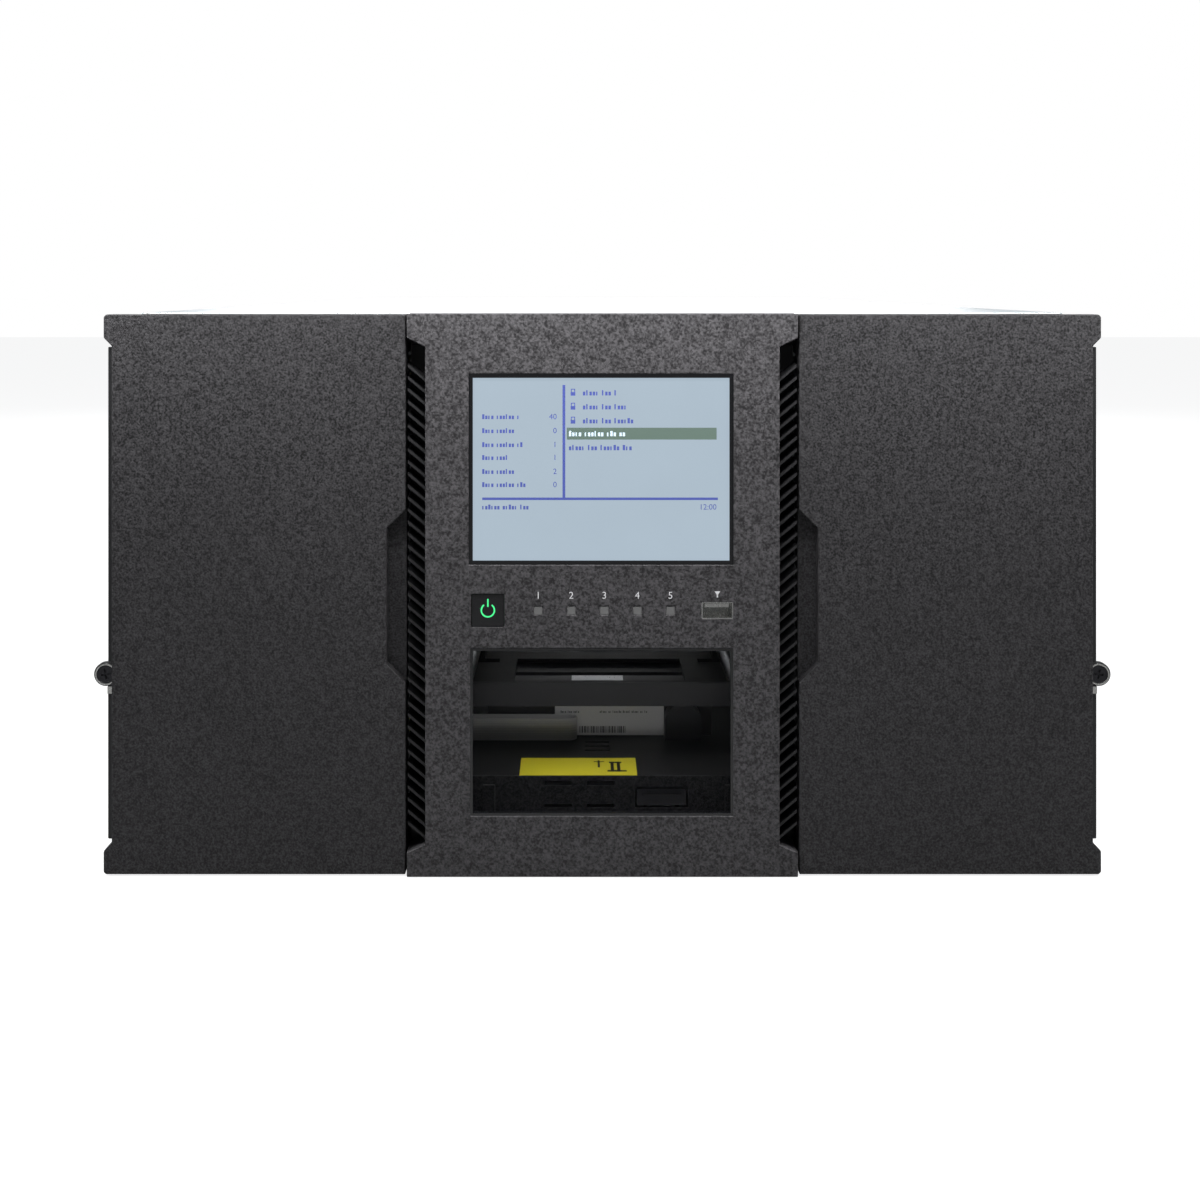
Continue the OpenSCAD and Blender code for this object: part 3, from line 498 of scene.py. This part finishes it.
class LIBRARY_OT_front(Operator):
    """Give the bezel, panels, vents and window their finishes and edges"""

    bl_idname = "library.front"
    bl_label = "Front"

    def execute(self, context):
        s = context.scene.library_sizes
        paint("front_bezel", "bezel plastic")
        soften("front_bezel", s.edge_round, 3)
        for side in ("left", "right"):
            paint(f"{side}_magazine_panel", "panel plastic")
            soften(f"{side}_magazine_panel", s.edge_round, 3)
            paint(f"{side}_captive_screw", "black oxide")
        paint("vent_strips", "vent plastic")
        paint("window_pane", "window tint")
        paint("window_frame", "gloss black")
        paint("display_frame", "gloss black")
        paint("display_panel", "screen ground")
        paint("status_lamps", "lamp lens")
        soften("status_lamps", 0.0002, 2)
        paint("power_button", "gloss black")
        soften("power_button", 0.0006, 3)
        paint("usb_port", "nickel plate")
        paint("screw_ferrules", "nickel plate")
        soften("screw_ferrules", 0.0003, 2)
        paint("ear_clips", "nickel plate")
        return {"FINISHED"}


class LIBRARY_OT_inside(Operator):
    """Give the robot, magazines and service modules their finishes"""

    bl_idname = "library.inside"
    bl_label = "Inside"

    def execute(self, context):
        for side in ("left", "right"):
            paint(f"{side}_magazine_tray", "inner sheet")
            paint(f"{side}_magazine_ledges", "ledge plastic")
            paint(f"{side}_lift_shaft", "ground steel")
        for node in ("carriage_frame", "sled_frame"):
            paint(node, "black coat")
        for node in ("carriage_rods", "gripper_slide"):
            paint(node, "ground steel")
        for node in ("lift_motor", "sled_motor", "picker_frame", "gripper", "drive_sled"):
            paint(node, "robot plastic")
        soften("sled_motor", 0.0025, 4)
        paint("flex_guide", "flex film")
        paint("sled_label", "white film")
        paint("lock_label", "yellow film")
        paint("lock_lever", "lever plastic")
        soften("lock_lever", 0.0004, 2)
        paint("drive_body", "inner sheet")
        for node in ("upper_supply", "lower_supply", "controller_module"):
            paint(node, "inner sheet")
            soften(node, 0.0003, 2)
        for node in ("power_inlets_upper", "power_inlets_lower", "network_ports"):
            paint(node, "socket plastic")
        for node in ("upper_fan", "lower_fan"):
            paint(node, "vent plastic")
        return {"FINISHED"}


def greeked(x0, x1, z, y, tall, pattern):
    """Stand-in characters: upright ticks in word groups between x0 and x1."""
    made = []
    step = tall * 0.62
    x = x0
    i = 0
    while x + step * 0.7 < x1:
        word = pattern[i % len(pattern)]
        for k in range(word):
            if x + step * 0.7 >= x1:
                break
            up = 1.0 if (k * 3 + word + i) % 4 == 0 else 0.72
            wide = step * (0.72 if (k + word) % 3 else 0.42)
            made.append(((x + wide / 2, y, z - tall / 2 + tall * up / 2), (wide, tall * up)))
            x += step
        x += step * 0.8
        i += 1
    return made


class LIBRARY_OT_screen(Operator):
    """Draw the display's rows, bars and digits"""

    bl_idname = "library.screen"
    bl_label = "Display picture"

    def execute(self, context):
        s = context.scene.library_sizes
        lo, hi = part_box("display_panel")
        y = lo.y - s.print_height
        body = "chassis"
        bars = [((-18.2 * MM, y, 205.2 * MM), (1.3 * MM, 54.0 * MM)),
                ((-1.1 * MM, y, 178.4 * MM), (111.4 * MM, 1.2 * MM))]
        cards("screen_rules", "screen ink", body, "FRONT", bars)
        cards("screen_selection", "screen selection", body, "FRONT",
              [((18.6 * MM, y, 209.2 * MM), (70.8 * MM, 5.6 * MM))])
        rows = []
        for i, z in enumerate((228.5, 221.9, 215.3, 202.6)):
            x0 = -9.2 if i < 3 else -15.8
            rows += greeked(x0 * MM, (x0 + (16, 22, 26, 30)[i]) * MM, z * MM, y, 2.5 * MM, (5, 3, 6))
        for i, z in enumerate((217.2, 210.6, 204.0, 197.9, 191.3, 185.1)):
            rows += greeked(-56.8 * MM, (-56.8 + (18, 15, 20, 13, 17, 21)[i]) * MM, z * MM, y,
                            2.3 * MM, (4, 6, 3))
        rows += greeked(-56.8 * MM, -34.0 * MM, 174.5 * MM, y, 2.3 * MM, (6, 5))
        for z in (228.5, 221.9, 215.3):
            rows.append(((-13.9 * MM, y, (z - 0.5) * MM), (2.2 * MM, 1.7 * MM)))
            rows.append(((-14.7 * MM, y, (z + 1.0) * MM), (0.4 * MM, 1.3 * MM)))
            rows.append(((-13.1 * MM, y, (z + 1.0) * MM), (0.4 * MM, 1.3 * MM)))
            rows.append(((-13.9 * MM, y, (z + 1.7) * MM), (2.0 * MM, 0.4 * MM)))
        cards("screen_rows", "screen ink", body, "FRONT", rows)
        light = greeked(-15.8 * MM, 12.0 * MM, 209.2 * MM, y - s.print_height, 2.5 * MM, (4, 6, 3))
        cards("screen_selected_row", "screen paper", body, "FRONT", light)
        digits = []
        counts = (217.2, "40"), (210.6, "0"), (204.0, "1"), (197.9, "1"), (191.3, "2"), (185.1, "0")
        for z, text in counts:
            digits.append(words(text, (-21.5 * MM, y, (z - 1.2) * MM), 2.6 * MM, "FRONT", "RIGHT"))
        digits.append(words("12:00", (54.0 * MM, y, 173.3 * MM), 2.6 * MM, "FRONT", "RIGHT"))
        joined(digits, "screen_digits", "screen ink", body)
        return {"FINISHED"}


class LIBRARY_OT_button_symbol(Operator):
    """Draw the lit power symbol on the button"""

    bl_idname = "library.button_symbol"
    bl_label = "Power symbol"

    def execute(self, context):
        s = context.scene.library_sizes
        lo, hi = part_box("power_button")
        x, z = (lo.x + hi.x) / 2, 125.8 * MM
        y = lo.y - s.print_height
        calm()
        start_plane((x, y, z + s.symbol_radius + s.symbol_line * 0.6),
                    (s.symbol_line, s.symbol_radius * 1.2), "FRONT")
        bpy.ops.mesh.select_all(action="DESELECT")
        a = math.radians(35.0)
        r0, r1 = s.symbol_radius - s.symbol_line / 2, s.symbol_radius + s.symbol_line / 2
        bpy.ops.mesh.primitive_circle_add(vertices=40, radius=r1, fill_type="NGON",
                                          location=(x, y, z), rotation=(math.pi / 2, 0, 0))
        bpy.ops.mesh.inset(thickness=r1 - r0)
        bpy.ops.mesh.delete(type="FACE")
        bpy.ops.mesh.select_all(action="DESELECT")
        bpy.ops.mesh.select_mode(type="FACE")
        bpy.ops.object.mode_set(mode="OBJECT")
        o = bpy.context.object
        for f in o.data.polygons:
            d = o.matrix_world @ f.center - Vector((x, y, z))
            on_ring = abs(d.length - s.symbol_radius) < s.symbol_line
            gap = d.z > 0 and abs(math.atan2(d.x, d.z)) < a and d.length > s.symbol_radius * 0.9
            f.select = bool(on_ring and gap and len(f.vertices) == 4 and f.area < 1e-6)
        bpy.ops.object.mode_set(mode="EDIT")
        bpy.ops.mesh.delete(type="FACE")
        bpy.ops.mesh.select_mode(type="VERT")
        settle("power_symbol", "power green", "power_button")
        return {"FINISHED"}


class LIBRARY_OT_numerals(Operator):
    """Number the status lamps and mark the socket"""

    bl_idname = "library.numerals"
    bl_label = "Numerals"

    def execute(self, context):
        s = context.scene.library_sizes
        lo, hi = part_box("status_lamps")
        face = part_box("front_bezel")[0].y - s.print_height
        pitch = (hi.x - lo.x - 4.1 * MM) / (s.lamps - 1)
        made = []
        for i in range(s.lamps):
            at = (lo.x + 2.05 * MM + i * pitch, face, hi.z + 3.6 * MM)
            made.append(words(str(i + 1), at, s.numeral))
        joined(made, "lamp_numerals", "white ink", "chassis")
        ulo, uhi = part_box("usb_port")
        x = (ulo.x + uhi.x) / 2
        calm()
        bpy.ops.mesh.primitive_circle_add(vertices=3, radius=1.5 * MM, fill_type="NGON",
                                          location=(x, face, uhi.z + 4.4 * MM),
                                          rotation=(-math.pi / 2, 0, math.pi))
        bpy.ops.object.mode_set(mode="EDIT")
        bpy.ops.mesh.select_all(action="DESELECT")
        start_plane((x, face, uhi.z + 3.0 * MM), (0.7 * MM, 1.6 * MM), "FRONT")
        settle("socket_mark", "white ink", "chassis")
        return {"FINISHED"}


class LIBRARY_OT_labels(Operator):
    """Print the lock label's arrow and sign and the robot label's bars"""

    bl_idname = "library.labels"
    bl_label = "Labels"

    def execute(self, context):
        s = context.scene.library_sizes
        lo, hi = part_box("lock_label")
        z = hi.z + s.print_height
        ink = []

        def at(x, y, w, d):
            ink.append(((lo.x + x * MM, lo.y + y * MM, z), (w * MM, d * MM)))

        at(39.5, 17.0, 1.1, 11.0)
        at(38.3, 20.4, 2.6, 1.2)
        at(40.9, 20.4, 2.6, 1.2)
        at(48.5, 6.2, 9.6, 2.4)
        at(46.2, 12.5, 1.6, 12.0)
        at(49.4, 12.5, 1.6, 12.0)
        at(47.8, 19.4, 6.4, 2.2)
        cards("lock_sign", "black ink", "chassis", "UP", ink)
        rlo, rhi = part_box("sled_label")
        y = rlo.y - s.print_height
        bars = []
        x = rlo.x + 13.0 * MM
        for i in range(26):
            wide = (0.35, 0.7, 0.5, 0.35, 0.9)[(i * 3) % 5] * MM
            bars.append(((x + wide / 2, y, rlo.z + 3.1 * MM), (wide, 3.6 * MM)))
            x += wide + (0.4, 0.3, 0.55)[i % 3] * MM
        bars += greeked(rlo.x + 3.0 * MM, rlo.x + 14.0 * MM, rhi.z - 4.4 * MM, y, 1.3 * MM, (4, 3))
        bars += greeked(rlo.x + 24.0 * MM, rlo.x + 50.0 * MM, rhi.z - 4.4 * MM, y, 1.3 * MM, (5, 2, 6, 5))
        cards("robot_label_bars", "grey ink", "robot_sled", "FRONT", bars)
        return {"FINISHED"}


class LIBRARY_OT_cover_lip(Operator):
    """Add bright nickel strips along the top cover's front edge, a painted highlight for the light that
    edge catches
    """

    bl_idname = "library.cover_lip"
    bl_label = "Cover lip"

    def execute(self, context):
        lo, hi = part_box("top_cover")
        calm()
        cuts = [lo.x + 1.6 * MM, -48.5 * MM, -45.3 * MM, 43.0 * MM, 46.2 * MM, hi.x - 1.6 * MM]
        for a, b in zip(cuts[0::2], cuts[1::2]):
            block((a, lo.y - 0.25 * MM, hi.z - 1.2 * MM), (b, lo.y, hi.z - 0.1 * MM))
        # painted highlight: these bright strips stand in for the light caught along the cover's front
        # edge
        o = settle("cover_lip", "nickel plate", "chassis")
        rounded(o, 0.0001, 2)
        return {"FINISHED"}


class LIBRARY_OT_screws(Operator):
    """Model one pan-head screw and copy it round the case"""

    bl_idname = "library.screws"
    bl_label = "Case screws"

    def execute(self, context):
        s = context.scene.library_sizes
        r = s.screw_radius
        calm()
        bpy.ops.mesh.primitive_cylinder_add(vertices=24, radius=r, depth=r * 0.5,
                                            location=(0, 0, r * 0.25))
        bpy.ops.object.mode_set(mode="EDIT")
        bpy.ops.mesh.select_mode(type="FACE")
        bpy.ops.mesh.select_all(action="SELECT")
        bpy.ops.mesh.bevel(offset=r * 0.28, segments=3, affect="EDGES")
        bpy.ops.object.mode_set(mode="OBJECT")
        head = bpy.context.object
        cutters = []
        for turn in (0.0, math.pi / 2):
            calm()
            bpy.ops.mesh.primitive_cube_add(size=1.0, location=(0, 0, r * 0.5), rotation=(0, 0, turn))
            bpy.ops.object.mode_set(mode="EDIT")
            bpy.ops.transform.resize(value=(r * 1.05, r * 0.24, r * 0.5),
                                     center_override=(0, 0, r * 0.5), orient_type="LOCAL")
            bpy.ops.object.mode_set(mode="OBJECT")
            cutters.append(bpy.context.object)
        for cutter in cutters:
            m = head.modifiers.new("cross", "BOOLEAN")
            m.operation = "DIFFERENCE"
            m.object = cutter
            with context.temp_override(object=head, active_object=head):
                bpy.ops.object.modifier_apply(modifier=m.name)
        calm()
        for cutter in cutters:
            cutter.select_set(True)
        bpy.ops.object.delete()
        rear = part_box("rear_panel")[1].y
        slo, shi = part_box("side_panels")
        groups = {"rear_screws": [], "left_side_screws": [], "right_side_screws": []}
        for x in (-212, -90, 88, 212):
            for z in (12, 110, 200, 256):
                groups["rear_screws"].append(((x * MM, rear, z * MM), (-math.pi / 2, 0, 0)))
        for y in (-330, -180, -30, 120, 240, 400):
            for z in (8, 258):
                groups["left_side_screws"].append(((slo.x, y * MM, z * MM), (0, -math.pi / 2, 0)))
                groups["right_side_screws"].append(((shi.x, y * MM, z * MM), (0, math.pi / 2, 0)))
        for name, places in groups.items():
            copies = []
            for at, turn in places:
                calm()
                head.select_set(True)
                context.view_layer.objects.active = head
                bpy.ops.object.duplicate(linked=False)
                copy = context.object
                copy.location = at
                copy.rotation_euler = turn
                copies.append(copy)
            joined(copies, name, "nickel plate", "chassis")
        calm()
        head.select_set(True)
        bpy.ops.object.delete()
        return {"FINISHED"}


class LIBRARY_OT_service(Operator):
    """Add fan grilles and socket contacts on the service side"""

    bl_idname = "library.service"
    bl_label = "Service side"

    def execute(self, context):
        s = context.scene.library_sizes
        for which in ("upper", "lower"):
            lo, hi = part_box(f"{which}_fan")
            x, z = (lo.x + hi.x) / 2, (lo.z + hi.z) / 2
            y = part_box("rear_panel")[1].y + 1.1 * MM + s.grille_wire
            made = []
            for ring in (5.0, 9.0, 13.0, 16.6):
                calm()
                bpy.ops.mesh.primitive_torus_add(
                    location=(x, y, z), rotation=(math.pi / 2, 0, 0), major_segments=36,
                    minor_segments=8, major_radius=ring * MM, minor_radius=s.grille_wire)
                made.append(context.object)
            joined(made, f"{which}_grille", "nickel plate", f"{which}_power_supply")
        lo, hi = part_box("network_ports")
        pins = []
        for i in range(2):
            x = lo.x + (7.7 + 22.0 * i) * MM
            for k in range(8):
                at = x + (k - 3.5) * 1.02 * MM
                pins.append(((at, hi.y - 8.0 * MM, hi.z - 2.3 * MM), (0.4 * MM, 1.0 * MM)))
        cards("network_contacts", "contact gold", "controller", "BACK", pins)
        return {"FINISHED"}


# name, place, size, power and turn of each lamp
LAMPS = (
    ("front strip", (0.0, -0.52, 0.355), (1.1, 0.03), 3.3, (0.0, 0.0, 0.0)),
    ("bay light", (0.0, -0.418, 0.106), (0.12, 0.012), 0.05, (math.radians(-20), 0.0, 0.0)),
    ("overhead", (0.0, 0.25, 1.6), (1.4, 1.4), 14.0, (0.0, 0.0, 0.0)),
    ("behind", (0.0, 1.9, 0.9), (1.6, 1.0), 14.0, (math.radians(-65), 0.0, 0.0)),
    ("left side", (-1.8, 0.2, 0.8), (1.4, 1.0), 8.0, (0.0, math.radians(-65), 0.0)),
    ("right side", (1.8, 0.2, 0.8), (1.4, 1.0), 8.0, (0.0, math.radians(65), 0.0)),
)
FLOOR_GLOW = 0.82


class LIBRARY_OT_stage(Operator):
    """Set the floor, the lights, the surroundings and the camera"""

    bl_idname = "library.stage"
    bl_label = "Stage"

    def execute(self, context):
        calm()
        bpy.ops.mesh.primitive_plane_add(size=14.0, location=(0, 0, -0.0004))
        floor = context.object
        floor.name = "floor"
        m = bpy.data.materials.new("floor white")
        m.use_nodes = True
        t = Tree(m.node_tree)
        t.tree.nodes.clear()
        seen = t.node("ShaderNodeLightPath").outputs["Is Camera Ray"]
        dark = t.node("ShaderNodeEmission", None, {"Strength": 0.0}).outputs[0]
        glow = t.node("ShaderNodeEmission", None, {"Strength": FLOOR_GLOW}).outputs[0]
        soft = t.node("ShaderNodeBsdfDiffuse", None, {"Color": (0.30, 0.30, 0.30)}).outputs[0]
        mix = t.node("ShaderNodeMixShader", None, {0: seen, 1: dark, 2: glow}).outputs[0]
        both = t.node("ShaderNodeAddShader", None, {0: mix, 1: soft}).outputs[0]
        t.node("ShaderNodeOutputMaterial", None, {0: both})
        floor.data.materials.append(m)

        world = bpy.data.worlds.new("studio")
        context.scene.world = world
        world.use_nodes = True
        t = Tree(world.node_tree)
        t.tree.nodes.clear()
        where = t.node("ShaderNodeTexCoord").outputs["Generated"]
        along = t.node("ShaderNodeSeparateXYZ", None, {0: where}).outputs["Y"]
        room = t.node("ShaderNodeMapRange", None, {
            "Value": along, "From Min": -0.5, "From Max": 0.5, "To Min": 0.12, "To Max": 0.60})
        lit = t.node("ShaderNodeBackground", None, {
            "Color": (0.94, 0.97, 1.0), "Strength": room.outputs["Result"]}).outputs[0]
        white = t.node("ShaderNodeBackground", None, {
            "Color": (1.0, 1.0, 1.0), "Strength": 1.0}).outputs[0]
        seen = t.node("ShaderNodeLightPath").outputs["Is Camera Ray"]
        mix = t.node("ShaderNodeMixShader", None, {0: seen, 1: lit, 2: white}).outputs[0]
        t.node("ShaderNodeOutputWorld", None, {0: mix})

        for name, at, size, power, turn in LAMPS:
            bpy.ops.object.light_add(type="AREA", location=at, rotation=turn)
            lamp = context.object
            lamp.name = name
            lamp.data.shape = "RECTANGLE"
            lamp.data.size, lamp.data.size_y = size
            lamp.data.energy = power
            lamp.visible_camera = False

        bpy.ops.object.camera_add(location=(-0.0106, -1.140, 0.279), rotation=(math.pi / 2, 0, 0))
        cam = context.object
        cam.data.sensor_width = 36.0
        cam.data.lens = 44.73
        cam.data.shift_x = 0.0167
        cam.data.shift_y = -0.2617
        cam.data.clip_end = 60.0
        context.scene.camera = cam
        context.scene.view_settings.view_transform = "Standard"
        return {"FINISHED"}


OPERATORS = (
    LIBRARY_OT_case, LIBRARY_OT_front, LIBRARY_OT_inside, LIBRARY_OT_screen,
    LIBRARY_OT_button_symbol, LIBRARY_OT_numerals, LIBRARY_OT_labels, LIBRARY_OT_cover_lip,
    LIBRARY_OT_screws, LIBRARY_OT_service, LIBRARY_OT_stage,
)


class LIBRARY_PT_panel(Panel):
    """Lists the library's pieces"""

    bl_idname = "LIBRARY_PT_panel"
    bl_label = "Tape Library"
    bl_space_type = "VIEW_3D"
    bl_region_type = "UI"
    bl_category = "Tape Library"

    def draw(self, context):
        column = self.layout.column()
        for operator in OPERATORS:
            column.operator(operator.bl_idname)


CLASSES = (LibrarySizes, LibraryColours, *OPERATORS, LIBRARY_PT_panel)


def register():
    for c in CLASSES:
        bpy.utils.register_class(c)
    bpy.types.Scene.library_sizes = PointerProperty(type=LibrarySizes)
    bpy.types.Scene.library_colours = PointerProperty(type=LibraryColours)


def unregister():
    del bpy.types.Scene.library_sizes
    del bpy.types.Scene.library_colours
    for c in reversed(CLASSES):
        bpy.utils.unregister_class(c)


def main():
    register()
    make_finishes()
    bpy.ops.library.case()
    bpy.ops.library.front()
    bpy.ops.library.inside()
    bpy.ops.library.screen()
    bpy.ops.library.button_symbol()
    bpy.ops.library.numerals()
    bpy.ops.library.labels()
    bpy.ops.library.cover_lip()
    bpy.ops.library.screws()
    bpy.ops.library.service()
    bpy.ops.library.stage()
    calm()


if __name__ == "__main__":
    main()
